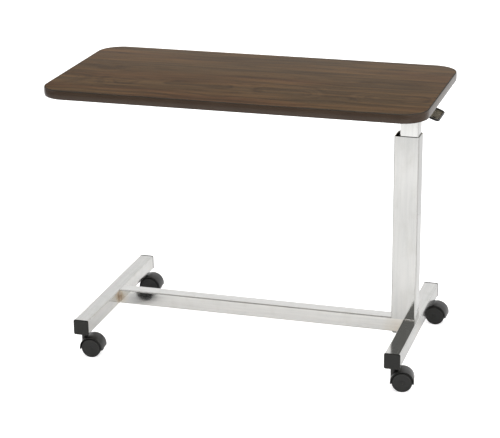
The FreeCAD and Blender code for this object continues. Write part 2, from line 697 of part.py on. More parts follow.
STEM_COLLAR = 0.9
STEM_COLLAR_RADIUS = 6.0
STEM_COLLAR_Z = (CASTER_HEIGHT - NUT_FLANGE - STEM_COLLAR, CASTER_HEIGHT - NUT_FLANGE)
STEM_FOOT = 29.0
HOOD_TOP = STEM_COLLAR_Z[0] - SLIDE_GAP
BOSS_RADIUS = 6.6
BOSS_BOTTOM_Z = STEM_FOOT - 3.0
WEB_DROP = 8.0


def caster_stems():
    stems = []
    for x, y in caster_places():
        thread = upright(STEM_RADIUS, x, y, (STEM_COLLAR_Z[1], CASTER_HEIGHT + NUT_HEIGHT))
        collar = upright(STEM_COLLAR_RADIUS, x, y, STEM_COLLAR_Z)
        pivot = upright(STEM_RADIUS, x, y, (STEM_FOOT, STEM_COLLAR_Z[0]))
        stems.append(fuse(thread, collar, pivot))
    return group(stems)


def placed(shape, corner):
    """Moves a piece drawn about a stem at the origin to its caster, turned to its rest angle."""
    x, y, turn = CASTERS[corner]
    shape.rotate(Vec(0, 0, 0), Z_AXIS, turn)
    shape.translate(Vec(x, y, 0))
    return shape


def caster_hood(corner):
    """The moulded body: a web between the wheels, a fender over them, and the stem's boss."""
    width, web_width = span(0, 2 * FENDER_HALF), span(0, 2 * WEB_HALF)
    around = (CASTER_TRAIL - FENDER_OUTER - PAST, CASTER_TRAIL + FENDER_OUTER + PAST)
    shell = cross_rod(FENDER_OUTER, CASTER_TRAIL, WHEEL_RADIUS, width)
    shell = shell.cut(cross_rod(FENDER_INNER, CASTER_TRAIL, WHEEL_RADIUS, width))
    shell = shell.common(box(around, width, (WHEEL_RADIUS - FENDER_DROP, HOOD_TOP)))
    web = cross_rod(FENDER_OUTER - STOP_GAP, CASTER_TRAIL, WHEEL_RADIUS, web_width)
    web = web.common(box(around, web_width, (WHEEL_RADIUS - WEB_DROP, HOOD_TOP)))
    boss = upright(BOSS_RADIUS, 0, 0, (BOSS_BOTTOM_Z, HOOD_TOP))
    wheels = [cross_rod(FENDER_INNER, CASTER_TRAIL, WHEEL_RADIUS,
                        sorted((side * WEB_HALF, side * 2 * FENDER_HALF))) for side in (-1, 1)]
    body = fuse(shell, web, boss).cut(wheels)
    stem_bore = upright(STEM_RADIUS + RUNNING_GAP, 0, 0, (STEM_FOOT - STOP_GAP, HOOD_TOP + PAST))
    axle_bore = cross_rod(AXLE_RADIUS, CASTER_TRAIL, WHEEL_RADIUS, span(0, 4 * WEB_HALF))
    return placed(body.cut([stem_bore, axle_bore]), corner)


def caster_axle(corner):
    return placed(cross_rod(AXLE_RADIUS, CASTER_TRAIL, WHEEL_RADIUS, (-AXLE_HALF, AXLE_HALF)), corner)


def caster_wheel(corner, side):
    """One wheel: a rounded tread, a shallow dish in its outer face and a blind axle bore."""
    inner = WEB_HALF + WHEEL_GAP
    outer = inner + WHEEL_WIDTH
    wheel = cross_rod(WHEEL_RADIUS, CASTER_TRAIL, WHEEL_RADIUS, sorted((side * inner, side * outer)))
    rims = [edge for edge in wheel.Edges if edge.BoundBox.YLength < NEARLY]
    wheel = wheel.makeFillet(WHEEL_ROUNDING, rims)
    dish = cross_rod(WHEEL_RADIUS - WHEEL_DISH_RIM, CASTER_TRAIL, WHEEL_RADIUS,
                     sorted((side * (outer - WHEEL_DISH), side * (outer + PAST))))
    bore = cross_rod(AXLE_RADIUS + RUNNING_GAP, CASTER_TRAIL, WHEEL_RADIUS,
                     sorted((side * (inner - PAST), side * (AXLE_HALF + SLIDE_GAP))))
    return placed(wheel.cut([dish, bore]), corner)


# ---------------------------------------------------------------- assembly

def nodes():
    """Every node of the table with its shape."""
    parts = {
        "top_core": screwed(top_core()),
        "top_laminate": top_slab(BAND, (CORE_Z[1], TOP_SURFACE)),
        "top_backer": screwed(top_slab(BAND, (TOP_UNDERSIDE, CORE_Z[0]))),
        "edge_band": edge_band(),
        "support_angle_front": support_angle(-1),
        "support_angle_rear": support_angle(1),
        "cross_strap": cross_strap(),
        "mast_head_plate": head_plate(),
        "top_screws": top_screws(),
        "mast_tube": mast_tube(),
        "clutch_housing": clutch_housing(),
        "housing_rivets": housing_rivets(),
        "clutch_plates": clutch_plates(),
        "clutch_spring": clutch_spring(),
        "lock_rod": lock_rod(),
        "release_rod": release_rod(),
        "release_rod_guide": release_rod_guide(),
        "release_rod_spring": release_rod_spring(),
        "lever_arm": lever_arm(),
        "lever_paddle": lever_paddle(),
        "paddle_rivets": paddle_rivets(),
        "lever_pivot_pin": lever_pivot_pin(),
        "spring_drum": spring_drum(),
        "spring_coil": spring_coil(),
        "drum_pin": drum_pin(),
        "spring_strip": spring_strip(),
        "strip_anchor_clip": strip_anchor_clip(),
        "strip_anchor_screw": strip_anchor_screw(),
        "outer_column": outer_column(),
        "column_guide_bush": column_guide_bush(),
        "column_foot_block": column_foot_block(),
        "base_bolts": base_bolts(),
        "crossbar": crossbar(),
        "left_foot": foot(LEFT_FOOT_X),
        "right_foot": foot(RIGHT_FOOT_X).cut(bolt_hole(BOLT_X[1])),
        "base_welds": base_welds(),
        "caster_stem_nuts": caster_stem_nuts(),
        "caster_stems": caster_stems(),
    }
    for corner, (x, y, _) in CASTERS.items():
        parts["end_cap_" + corner] = end_cap(x, math.copysign(1, y))
        parts["caster_hood_" + corner] = caster_hood(corner)
        parts["caster_axle_" + corner] = caster_axle(corner)
        parts["wheel_near_" + corner] = caster_wheel(corner, -1)
        parts["wheel_far_" + corner] = caster_wheel(corner, 1)
    return parts


def main():
    os.makedirs("parts", exist_ok=True)
    for name, shape in nodes().items():
        box_of = shape.BoundBox
        print(f"{name}: {len(shape.Solids)} solids, {shape.Volume / 1000:.2f} cm3, "
              f"valid {shape.isValid()}, z {box_of.ZMin:.2f} to {box_of.ZMax:.2f}")
        shape.exportStep(f"parts/{name}.step")


main()
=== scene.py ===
import json
import math

import bmesh
import bpy
from mathutils import Matrix, Vector


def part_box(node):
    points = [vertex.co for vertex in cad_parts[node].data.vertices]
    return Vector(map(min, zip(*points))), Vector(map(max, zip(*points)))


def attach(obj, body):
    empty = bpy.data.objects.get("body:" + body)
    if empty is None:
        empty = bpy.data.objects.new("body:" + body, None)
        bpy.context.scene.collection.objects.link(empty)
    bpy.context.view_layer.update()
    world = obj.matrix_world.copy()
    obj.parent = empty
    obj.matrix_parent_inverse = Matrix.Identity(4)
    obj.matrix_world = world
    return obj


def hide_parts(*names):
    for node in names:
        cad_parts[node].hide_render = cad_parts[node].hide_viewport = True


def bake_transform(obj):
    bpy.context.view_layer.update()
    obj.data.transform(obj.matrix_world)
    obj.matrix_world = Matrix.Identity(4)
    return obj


# Looks of the overbed table: woodgrain top, satin chrome tubes, black casters, caps and paddle.
# Metres, in the frame of the CAD model: +X along the top towards the column, +Z up, floor at zero.

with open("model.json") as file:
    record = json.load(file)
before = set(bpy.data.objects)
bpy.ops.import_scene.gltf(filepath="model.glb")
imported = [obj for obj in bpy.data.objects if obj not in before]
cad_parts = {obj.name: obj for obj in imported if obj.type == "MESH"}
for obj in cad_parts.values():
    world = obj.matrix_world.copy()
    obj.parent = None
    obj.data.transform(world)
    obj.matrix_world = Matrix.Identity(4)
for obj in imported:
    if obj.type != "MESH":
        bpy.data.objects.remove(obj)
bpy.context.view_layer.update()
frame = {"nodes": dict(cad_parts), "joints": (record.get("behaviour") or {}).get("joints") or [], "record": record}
NODES = frame["nodes"]
JOINTS = {joint["name"]: joint for joint in frame["joints"]}
CORNERS = ("front_left", "front_right", "rear_left", "rear_right")
MM = 0.001
NEARLY = 1e-7  # metres: closer than this is the same place

# The paddle's plate, in mm from the lever's pivot: along its slope, across it and square to it.
PADDLE_PIVOT = Vector(JOINTS["lever_lift"]["pos_m"])
PADDLE_SLOPE = math.radians(20.0)
PADDLE_NORMAL = Vector((math.sin(PADDLE_SLOPE), 0, math.cos(PADDLE_SLOPE)))
PADDLE_START, PADDLE_END = 15.0, 51.5
PADDLE_HALF_WIDTH = 35.0
PADDLE_BOTTOM, PADDLE_TOP = 1.7, 5.7


def linear(*display):
    """Scene-linear colour for a display colour given as 0 to 255, by the sRGB curve."""
    values = [channel / 255 for channel in display]
    return tuple(v / 12.92 if v < 0.04045 else ((v + 0.055) / 1.055) ** 2.4 for v in values) + (1,)


def grey(value):
    return (value, value, value, 1)


WHITE = grey(1)
BLACK = grey(0)


# ---------------------------------------------------------------- node materials

class Recipe:
    """A material under construction, with short calls for the nodes used here."""

    def __init__(self, name, **shader):
        self.material = bpy.data.materials.new(name)
        self.material.use_nodes = True
        self.tree = self.material.node_tree
        self.tree.nodes.clear()
        self.shader = self.node("ShaderNodeBsdfPrincipled")
        output = self.node("ShaderNodeOutputMaterial")
        self.link(self.shader.outputs["BSDF"], output.inputs["Surface"])
        for socket, value in shader.items():
            self.shader.inputs[socket.replace("_", " ")].default_value = value
        coordinates = self.node("ShaderNodeTexCoord")
        self.place = coordinates.outputs["Object"]
        self.facing = coordinates.outputs["Normal"]

    def node(self, kind, **settings):
        made = self.tree.nodes.new(kind)
        for name, value in settings.items():
            setattr(made, name, value)
        return made

    def link(self, source, target):
        self.tree.links.new(source, target)

    def feed(self, made, inputs):
        """Sets or links a node's inputs, given by name or number."""
        for key, value in inputs.items():
            if isinstance(value, bpy.types.NodeSocket):
                self.link(value, made.inputs[key])
            else:
                made.inputs[key].default_value = value

    def stretched(self, scale, offset=(0, 0, 0)):
        """Object coordinates, scaled differently along each axis."""
        made = self.node("ShaderNodeMapping")
        self.feed(made, {"Vector": self.place, "Scale": scale, "Location": offset})
        return made.outputs[0]

    def noise(self, vector, scale, detail=3.0, roughness=0.5):
        made = self.node("ShaderNodeTexNoise")
        self.feed(made, {"Vector": vector, "Scale": scale, "Detail": detail, "Roughness": roughness})
        return made.outputs["Fac"]

    def ramp(self, factor, *stops):
        """A colour ramp: each stop is (position, colour)."""
        made = self.node("ShaderNodeValToRGB")
        elements = made.color_ramp.elements
        while len(elements) < len(stops):
            elements.new(1.0)
        for element, (position, colour) in zip(elements, stops):
            element.position = position
            element.color = colour
        self.link(factor, made.inputs[0])
        return made.outputs["Color"]

    def remap(self, factor, low, high, start=0.0, end=1.0):
        """A value that runs from low to high as the factor runs from start to end."""
        made = self.node("ShaderNodeMapRange")
        self.feed(made, {"Value": factor, "From Min": start, "From Max": end,
                         "To Min": low, "To Max": high})
        return made.outputs["Result"]

    def math(self, operation, first, second=0.0, third=0.0):
        made = self.node("ShaderNodeMath", operation=operation)
        self.feed(made, {0: first, 1: second, 2: third})
        return made.outputs[0]

    def axis(self, name, vector=None):
        """One component of a vector, which is the place unless another is given."""
        made = self.node("ShaderNodeSeparateXYZ")
        self.link(vector or self.place, made.inputs[0])
        return made.outputs[name]

    def mix(self, factor, first, second, blend="MIX"):
        made = self.node("ShaderNodeMix", data_type="RGBA", blend_type=blend)
        self.feed(made, {0: factor, 6: first, 7: second})
        return made.outputs[2]

    def measure(self, operation, vector):
        """The place's DISTANCE from a point, or its DOT_PRODUCT with a direction."""
        made = self.node("ShaderNodeVectorMath", operation=operation)
        self.feed(made, {0: self.place, 1: vector})
        return made.outputs["Value"]

    def bump(self, height, depth, after=None):
        """Relief of a given depth in metres."""
        made = self.node("ShaderNodeBump")
        self.feed(made, {"Height": height, "Distance": depth, "Strength": 1.0})
        if after is not None:
            self.link(after, made.inputs["Normal"])
        return made.outputs["Normal"]

    def finish(self, **sockets):
        self.feed(self.shader, {name.replace("_", " "): value for name, value in sockets.items()})
        return self.material


RINGS_PER_METRE = 44.0
FINE_LINES_PER_RING = 2.6
HEART_FORWARD = 0.085  # the log's heart runs this far in front of the top's middle
HEART_SLOPE = 0.05     # how fast the cut leaves the heart along the top
HEART_DEPTH = -0.004   # how deep the heart lies at the top's middle


def growth_rings(recipe, drift, waver):
    """Ring count outwards from the heart of the log, which the cut passes at a shallow angle."""
    rise = recipe.noise(recipe.stretched((6.5, 0.0, 0), (0.35, 0, 0)), 1.0, 1.0)
    across = recipe.math("ADD", recipe.axis("Y"), HEART_FORWARD)
    across = recipe.math("ADD", across, recipe.remap(drift, -0.05, 0.05))
    depth = recipe.math("MULTIPLY_ADD", recipe.axis("X"), HEART_SLOPE, HEART_DEPTH)
    depth = recipe.math("ADD", depth, recipe.remap(rise, -0.045, 0.045, 0.25, 0.75))
    depth = recipe.math("ADD", depth, recipe.remap(waver, -0.01, 0.01))
    squared = recipe.math("ADD", recipe.math("MULTIPLY", across, across),
                          recipe.math("MULTIPLY", depth, depth))
    return recipe.math("MULTIPLY", recipe.math("SQRT", squared), RINGS_PER_METRE)


def walnut():
    """Flat-sawn walnut print: long growth lines that close into islands, pores and colour drift."""
    late_brown, fine_brown = linear(43, 31, 19), linear(46, 33, 20)
    pale_brown, dark_brown = linear(108, 81, 53), linear(44, 31, 20)
    pore_brown = linear(30, 22, 14)
    recipe = Recipe("walnut_laminate_grain", Specular_IOR_Level=0.07)
    drift = recipe.noise(recipe.stretched((1.3, 6.0, 1)), 2.2, 2.0)
    waver = recipe.noise(recipe.stretched((2.4, 13.0, 1)), 3.0, 3.0)
    heartwood = recipe.noise(recipe.stretched((1.6, 8.0, 1), (3.1, 0.4, 0)), 1.6, 2.0)
    rings = growth_rings(recipe, drift, waver)
    phase = recipe.math("FRACT", recipe.math("ADD", rings, recipe.remap(waver, 0.0, 0.5)))
    late_wood = recipe.ramp(phase, (0.0, grey(0.1)), (0.45, BLACK), (0.78, grey(0.6)), (0.92, WHITE),
                            (1.0, grey(0.1)))
    fine_phase = recipe.math("FRACT", recipe.math("MULTIPLY", rings, FINE_LINES_PER_RING))
    fine_lines = recipe.ramp(fine_phase, (0.0, BLACK), (0.5, BLACK), (0.8, WHITE), (1.0, BLACK))
    streaks = recipe.noise(recipe.stretched((1.4, 36.0, 1)), 3.0, 6.0, 0.66)
    pores = recipe.noise(recipe.stretched((22.0, 700.0, 1)), 2.0, 2.0, 0.7)
    colour = recipe.ramp(heartwood, (0.38, linear(74, 58, 39)), (0.5, linear(75, 56, 35)),
                         (0.62, linear(81, 56, 35)))
    colour = recipe.mix(recipe.remap(late_wood, 0.0, 0.8), colour, late_brown)
    colour = recipe.mix(recipe.remap(fine_lines, 0.0, 0.55), colour, fine_brown)
    colour = recipe.mix(recipe.remap(streaks, 0.0, 0.54, 0.48, 0.66), colour, pale_brown)
    colour = recipe.mix(recipe.remap(streaks, 0.36, 0.0, 0.35, 0.5), colour, dark_brown)
    colour = recipe.mix(recipe.remap(pores, 0.0, 0.45, 0.55, 0.7), colour, pore_brown)
    gloss = recipe.remap(streaks, 0.26, 0.34)
    return recipe.finish(Base_Color=colour, Roughness=gloss, Normal=recipe.bump(pores, 0.03 * MM))


def edge_vinyl():
    """Brown moulded vinyl, smooth enough to shine at a low angle, with its upper lip darkened by painted shade and
    made matt.
    """
    recipe = Recipe("edge_vinyl_brown", Specular_IOR_Level=0.3)
    grain = recipe.noise(recipe.stretched((5.0, 5.0, 420.0)), 3.0, 3.0, 0.6)
    cloud = recipe.noise(recipe.stretched((9.0, 9.0, 9.0)), 3.0, 3.0)
    colour = recipe.mix(recipe.remap(grain, 0.0, 0.6, 0.35, 0.7), linear(64, 51, 41), linear(79, 66, 54))
    colour = recipe.mix(recipe.remap(cloud, 0.0, 0.5, 0.35, 0.7), colour, linear(58, 45, 36))
    # Painted shade: faces that look up are mixed towards dark brown, a painted shadow line along the top edge.
    lip = recipe.remap(recipe.axis("Z", recipe.facing), 0.0, 1.0, 0.2, 0.6)
    colour = recipe.mix(lip, colour, linear(34, 30, 24))
    gloss = recipe.math("MAXIMUM", recipe.remap(cloud, 0.15, 0.24), recipe.math("MULTIPLY", lip, 0.6))
    return recipe.finish(Base_Color=colour, Roughness=gloss, Normal=recipe.bump(grain, 0.008 * MM))


CORNER_DULLING = 0.42  # roughness that the polish gains on a tube's rounded corners


def chrome(name, along, shade, painted_side_light=1.0, tints=()):
    """Satin chrome over drawn tube: lengthwise polish lines, clouding, waviness and weld tint.

    The shade scales its display colour: painted shade that sets how bright each part's copy of the chrome comes
    out. The painted side light is how much of it faces along X keep: painted shade on those faces where it is
    below 1, painted light where it is above 1.
    """
    recipe = Recipe(name, Metallic=1.0)

    def drawn(lengthwise, crosswise):
        return recipe.stretched(tuple(lengthwise if axis == along else crosswise for axis in "XYZ"))

    def tone(*display):
        return linear(*(shade * channel for channel in display))

    lines = recipe.noise(drawn(12.0, 1300.0), 1.0, 3.0, 0.6)
    streaks = recipe.noise(drawn(9.0, 260.0), 1.0, 4.0, 0.62)
    bands = recipe.noise(drawn(3.0, 60.0), 1.0, 2.0)
    clouds = recipe.noise(recipe.stretched((42.0, 42.0, 24.0)), 1.0, 4.0, 0.6)
    sideways, frontal, upright = [recipe.math("ABSOLUTE", recipe.axis(axis, recipe.facing))
                                  for axis in "XYZ"]
    # Painted shade: the tone scales every colour by this part's shade.
    colour = recipe.ramp(streaks, (0.3, tone(230, 230, 228)), (0.68, tone(243, 242, 239)))
    colour = recipe.mix(recipe.remap(clouds, 0.0, 0.24, 0.5, 0.72), colour, tone(208, 206, 198))
    # Painted shade and light on the faces that look along X, by the painted side light factor.
    colour = recipe.mix(1.0, colour, recipe.remap(sideways, 1.0, painted_side_light, 0.6, 0.95), "MULTIPLY")
    wall = recipe.remap(upright, 1.0, 0.0, 0.5, 0.8)
    for point, reach, hue, strength in tints:
        fade = recipe.remap(recipe.measure("DISTANCE", point), strength, 0.0, 0.0, reach)
        near = recipe.math("MULTIPLY", fade, wall)
        broken = recipe.math("MULTIPLY", near, recipe.remap(bands, 0.4, 1.6))
        colour = recipe.mix(recipe.math("MINIMUM", broken, 1.0), colour, hue)
    dull = recipe.math("ADD", recipe.remap(clouds, 0.05, 0.13), recipe.remap(streaks, -0.03, 0.03))
    squareness = recipe.math("MAXIMUM", recipe.math("MAXIMUM", sideways, frontal), upright)
    dull = recipe.math("ADD", dull, recipe.remap(squareness, CORNER_DULLING, 0.0, 0.8, 0.97))
    relief = recipe.bump(lines, 0.01 * MM)
    relief = recipe.bump(bands, 0.05 * MM, relief)
    relief = recipe.bump(clouds, 0.05 * MM, relief)
    return recipe.finish(Base_Color=colour, Roughness=dull, Normal=relief)


def plastic(name, colour, roughness, grain=900.0, specular=0.35):
    """Moulded plastic with a fine spark texture and slight scuffing."""
    recipe = Recipe(name, Specular_IOR_Level=specular)
    texture = recipe.noise(recipe.place, grain, 2.0, 0.6)
    scuffs = recipe.noise(recipe.place, 55.0, 4.0, 0.65)
    lighter = tuple(min(1.0, channel * 1.5) for channel in colour[:3]) + (1,)
    tone = recipe.mix(recipe.remap(scuffs, 0.0, 1.0, 0.35, 0.75), colour, lighter)
    gloss = recipe.remap(scuffs, roughness - 0.06, roughness + 0.08)
    return recipe.finish(Base_Color=tone, Roughness=gloss, Normal=recipe.bump(texture, 0.02 * MM))


def paddle_abs():
    """Black moulded plastic whose dish is lightened to olive grey by painted light, standing in for the bright
    surroundings it mirrors.
    """
    recipe = Recipe("paddle_abs", Specular_IOR_Level=0.5)
    texture = recipe.noise(recipe.place, 700.0, 2.0, 0.6)
    scuffs = recipe.noise(recipe.place, 90.0, 4.0, 0.65)
    rim_top = PADDLE_PIVOT.dot(PADDLE_NORMAL) + PADDLE_TOP * MM
    facing_up = recipe.remap(recipe.axis("Z", recipe.facing), 0.0, 1.0, 0.82, 0.92)
    in_dish = recipe.remap(recipe.measure("DOT_PRODUCT", PADDLE_NORMAL), 1.0, 0.0,
                           rim_top - 1.9 * MM, rim_top - 1.2 * MM)
    # Painted light: the upward-facing dish below the rim goes olive grey, broken up by the scuffs noise; the rims
    # and walls stay black.
    painted_light_dish = recipe.math("MULTIPLY", facing_up, in_dish)
    painted_light_dish = recipe.math("MULTIPLY", painted_light_dish, recipe.remap(scuffs, 0.7, 1.0, 0.35, 0.6))
    tone = recipe.mix(painted_light_dish, linear(24, 24, 20), linear(84, 83, 70))
    gloss = recipe.remap(scuffs, 0.16, 0.26)
    return recipe.finish(Base_Color=tone, Roughness=gloss, Normal=recipe.bump(texture, 0.02 * MM))


def metal(name, colour, roughness, marks=(400.0, 400.0, 400.0)):
    """Zinc-plated or ground steel, with tool marks as fine as the marks' count to a metre."""
    recipe = Recipe(name, Metallic=1.0)
    scratches = recipe.noise(recipe.stretched(marks), 1.0, 3.0, 0.6)
    patches = recipe.noise(recipe.place, 60.0, 3.0)
    darker = tuple(channel * 0.72 for channel in colour[:3]) + (1,)
    tone = recipe.mix(recipe.remap(patches, 0.0, 1.0, 0.3, 0.7), darker, colour)
    gloss = recipe.remap(scratches, roughness - 0.08, roughness + 0.1)
    return recipe.finish(Base_Color=tone, Roughness=gloss, Normal=recipe.bump(scratches, 0.02 * MM))


def powder_coat():
    """Black powder coat with orange peel and slight wear."""
    recipe = Recipe("powder_coat_black")
    orange_peel = recipe.noise(recipe.place, 420.0, 2.0)
    wear = recipe.noise(recipe.place, 35.0, 4.0, 0.7)
    tone = recipe.mix(recipe.remap(wear, 0.0, 1.0, 0.4, 0.8), linear(36, 36, 36), linear(58, 57, 55))
    gloss = recipe.remap(wear, 0.38, 0.52)
    return recipe.finish(Base_Color=tone, Roughness=gloss, Normal=recipe.bump(orange_peel, 0.06 * MM))


def paper_backer():
    """Tan resin-faced paper with a sanded, fibrous look."""
    recipe = Recipe("backer_sheet_tan")
    fibres = recipe.noise(recipe.stretched((40.0, 260.0, 1)), 2.0, 4.0, 0.7)
    blotches = recipe.noise(recipe.place, 9.0, 3.0)
    weave = recipe.remap(fibres, 0.0, 1.0, 0.3, 0.7)
    tone = recipe.mix(weave, linear(142, 126, 107), linear(172, 156, 135))
    tone = recipe.mix(recipe.remap(blotches, 0.0, 0.4), tone, linear(126, 111, 95))
    gloss = recipe.remap(fibres, 0.55, 0.7)
    return recipe.finish(Base_Color=tone, Roughness=gloss, Normal=recipe.bump(fibres, 0.05 * MM))


def chipboard():
    """Pressed wood chips with dust between them."""
    recipe = Recipe("particleboard_chips")
    chips = recipe.node("ShaderNodeTexVoronoi")
    recipe.feed(chips, {"Vector": recipe.stretched((1.0, 1.0, 2.4)), "Scale": 620.0})
    dust = recipe.noise(recipe.place, 1500.0, 2.0)
    tone = recipe.mix(chips.outputs["Color"], linear(150, 118, 84), linear(196, 164, 122))
    tone = recipe.mix(recipe.remap(dust, 0.0, 0.5), tone, linear(120, 92, 62))
    return recipe.finish(Base_Color=tone, Roughness=recipe.remap(dust, 0.75, 0.9),
                         Normal=recipe.bump(chips.outputs["Distance"], 0.1 * MM))


CROSSBAR_LOW, CROSSBAR_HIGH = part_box("crossbar")
LEFT_JOINT = (CROSSBAR_LOW.x, CROSSBAR_LOW.y, (CROSSBAR_LOW.z + CROSSBAR_HIGH.z) / 2)
RIGHT_JOINT = (CROSSBAR_HIGH.x, CROSSBAR_LOW.y, CROSSBAR_LOW.z)
STRAW = linear(205, 178, 128)
BRONZE = linear(150, 108, 72)
BLUED = linear(118, 112, 120)
WELD_TINTS = (  # place, reach in metres, hue, strength
    (LEFT_JOINT, 0.022, STRAW, 0.5),
    (LEFT_JOINT, 0.013, BRONZE, 0.4),
    (LEFT_JOINT, 0.006, BLUED, 0.35),
    (RIGHT_JOINT, 0.050, STRAW, 0.35),
    (RIGHT_JOINT, 0.016, BRONZE, 0.3),
)

MATERIALS = {
    "walnut_laminate": walnut(),
    "edge_vinyl": edge_vinyl(),
    # Lit and shaded copies of one chrome: each part's shade and painted side light are painted shade and light,
    # part by part.
    "chrome_crossbar": chrome("satin_chrome_crossbar", "X", shade=0.96, tints=WELD_TINTS),
    "chrome_left_foot": chrome("satin_chrome_left_foot", "Y", shade=0.9, painted_side_light=1.1, tints=WELD_TINTS),
    "chrome_right_foot": chrome("satin_chrome_right_foot", "Y", shade=0.93, painted_side_light=0.63, tints=WELD_TINTS),
    "chrome_column": chrome("satin_chrome_column", "Z", shade=0.865, painted_side_light=0.93),
    "chrome_mast": chrome("satin_chrome_mast", "Z", shade=0.99, painted_side_light=0.9),
    "zinc_steel": metal("zinc_plate", linear(196, 198, 196), roughness=0.34),
    "dull_zinc": metal("aged_zinc_plate", linear(158, 157, 152), roughness=0.42),
    "hard_steel": metal("ground_steel", linear(150, 150, 152), roughness=0.3, marks=(900.0, 900.0, 90.0)),
    "spring_steel": metal("blued_spring_steel", linear(108, 116, 132), roughness=0.28),
    "black_steel": powder_coat(),
    "backer_sheet": paper_backer(),
    "particleboard": chipboard(),
    "acetal": plastic("acetal_natural", linear(214, 212, 202), roughness=0.42, grain=300.0),
    "bush_plastic": plastic("guide_nylon_dark", linear(30, 30, 28), roughness=0.4),
    "black_plastic": plastic("cap_polypropylene", linear(15, 15, 11), roughness=0.24, specular=0.4),
    "paddle_plastic": paddle_abs(),
    "caster_nylon": plastic("caster_hood_nylon", linear(17, 16, 14), roughness=0.3, specular=0.45),
    "wheel_tread": plastic("caster_wheel_nylon", linear(20, 20, 18), roughness=0.34, specular=0.45),
}

NODE_MATERIALS = {  # nodes whose material isn't named after their slot in the record
    "crossbar": "chrome_crossbar",
    "left_foot": "chrome_left_foot",
    "right_foot": "chrome_right_foot",
    "outer_column": "chrome_column",
    "mast_tube": "chrome_mast",
    "base_welds": "chrome_column",
    "lever_paddle": "paddle_plastic",
    "strip_anchor_screw": "dull_zinc",
    "base_bolts": "dull_zinc",
}


def dress_cad_nodes():
    """Gives each CAD node its procedural material, from the record's slots."""
    slots = {part["node"]: part["material_slot"] for part in frame["record"]["subparts"]}
    for name, node in NODES.items():
        material = MATERIALS[NODE_MATERIALS.get(name, slots[name])]
        node.data.materials.clear()
        node.data.materials.append(material)


dress_cad_nodes()


# ---------------------------------------------------------------- mesh building

def link(name, mesh):
    """Puts a mesh into the scene as an object."""
    made = bpy.data.objects.new(name, mesh)
    bpy.context.scene.collection.objects.link(made)
    return made


def add_piece(name, mesh, material, body, replaced=()):
    """Links a mesh into the scene as a piece that rides on a CAD body."""
    mesh.materials.append(MATERIALS[material])
    mesh.shade_smooth()
    piece = link(name, mesh)
    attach(piece, body)
    if replaced:
        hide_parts(*replaced)
    return piece


def mesh_from(name, build):
    """Turns a finished build into a mesh."""
    mesh = bpy.data.meshes.new(name)
    build.to_mesh(mesh)
    build.free()
    return mesh


def mesh_from_rings(name, rings, closed_loop=False):
    """A skin over rings of equal point count; the ends are capped, or joined to make a torus."""
    build = bmesh.new()
    loops = [[build.verts.new(point) for point in ring] for ring in rings]
    pairs = list(zip(loops, loops[1:]))
    if closed_loop:
        pairs.append((loops[-1], loops[0]))
    for low, high in pairs:
        count = len(low)
        for i in range(count):
            j = (i + 1) % count
            build.faces.new((low[i], low[j], high[j], high[i]))
    if not closed_loop:
        build.faces.new(reversed(loops[0]))
        build.faces.new(loops[-1])
    bmesh.ops.recalc_face_normals(build, faces=build.faces)
    return mesh_from(name, build)


def joined(name, meshes):
    """One mesh from several closed ones."""
    build = bmesh.new()
    for mesh in meshes:
        build.from_mesh(mesh)
    return mesh_from(name, build)


def sharpen(mesh, degrees):
    """Keeps crisp edges where faces meet at more than an angle."""
    build = bmesh.new()
    build.from_mesh(mesh)
    limit = math.radians(degrees)
    for edge in build.edges:
        if len(edge.link_faces) == 2:
            edge.smooth = edge.calc_face_angle() < limit
    build.to_mesh(mesh)
    build.free()


def rounded_outline(half_x, half_y, radius, steps):
    """Points round a rectangle with rounded corners, anticlockwise."""
    points = []
    corners = ((1, 1, 0), (-1, 1, 90), (-1, -1, 180), (1, -1, 270))
    for sign_x, sign_y, start in corners:
        for x, y in arc(radius, start, start + 90, steps):
            points.append((sign_x * (half_x - radius) + x, sign_y * (half_y - radius) + y))
    return points


def circle(radius, steps):
    """Points round a circle."""
    angles = [2 * math.pi * i / steps for i in range(steps)]
    return [(radius * math.cos(angle), radius * math.sin(angle)) for angle in angles]


def arc(radius, start, end, steps):
    """Points on an arc about the origin, angles in degrees."""
    sweep = [math.radians(start + (end - start) * i / steps) for i in range(steps + 1)]
    return [(radius * math.cos(angle), radius * math.sin(angle)) for angle in sweep]


def carved(mesh, cutter):
    """The mesh with the cutter's volume taken out of it."""
    block = link("block", mesh)
    tool = link("tool", cutter)
    cut = block.modifiers.new("cut", "BOOLEAN")
    cut.operation = "DIFFERENCE"
    cut.object = tool
    result = bpy.data.meshes.new_from_object(block.evaluated_get(bpy.context.evaluated_depsgraph_get()))
    for item in (block, tool):
        bpy.data.objects.remove(item)
    return result


# ---------------------------------------------------------------- table top

def edge_moulding():
    """The rim: rounded lips and a slightly crowned face, with a plain back against the core."""
    low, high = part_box("edge_band")
    lip = 2.0 * MM
    crown = 0.5 * MM
    crown_share = 0.9
    rounding = 1.8 * MM
    plan_corner = 51.0 * MM
    face_steps = 8
    face_low, face_high = low.z + rounding, high.z - rounding
    profile = [(lip, high.z)]
    profile += [(crown + rounding - x, face_high + z) for x, z in arc(rounding, 90, 12, 5)]
    for i in range(1, face_steps):
        t = i / face_steps
        profile.append((crown * (1 - math.sin(math.pi * t)) * crown_share,
                        face_high + (face_low - face_high) * t))
    profile += [(crown + rounding - x, face_low + z) for x, z in arc(rounding, -12, -90, 5)]
    profile.append((lip, low.z))
    rings = []
    for inset, z in profile:
        outline = rounded_outline(high.x - inset, high.y - inset, plan_corner - inset, 14)
        rings.append([(x, y, z) for x, y in outline])
    mesh = mesh_from_rings("edge_moulding", rings, closed_loop=True)
    return add_piece("edge_moulding", mesh, "edge_vinyl", "mast", ["edge_band"])


edge_moulding()


# ---------------------------------------------------------------- end caps

CAP_PLUG = 13.3 * MM          # half width of the plug inside the tube
FRONT_FLANGE = 1.8 * MM
REAR_FLANGE = 0.7 * MM
REAR_FLANGE_INSET = 0.4 * MM  # a rear flange is this much narrower on each side


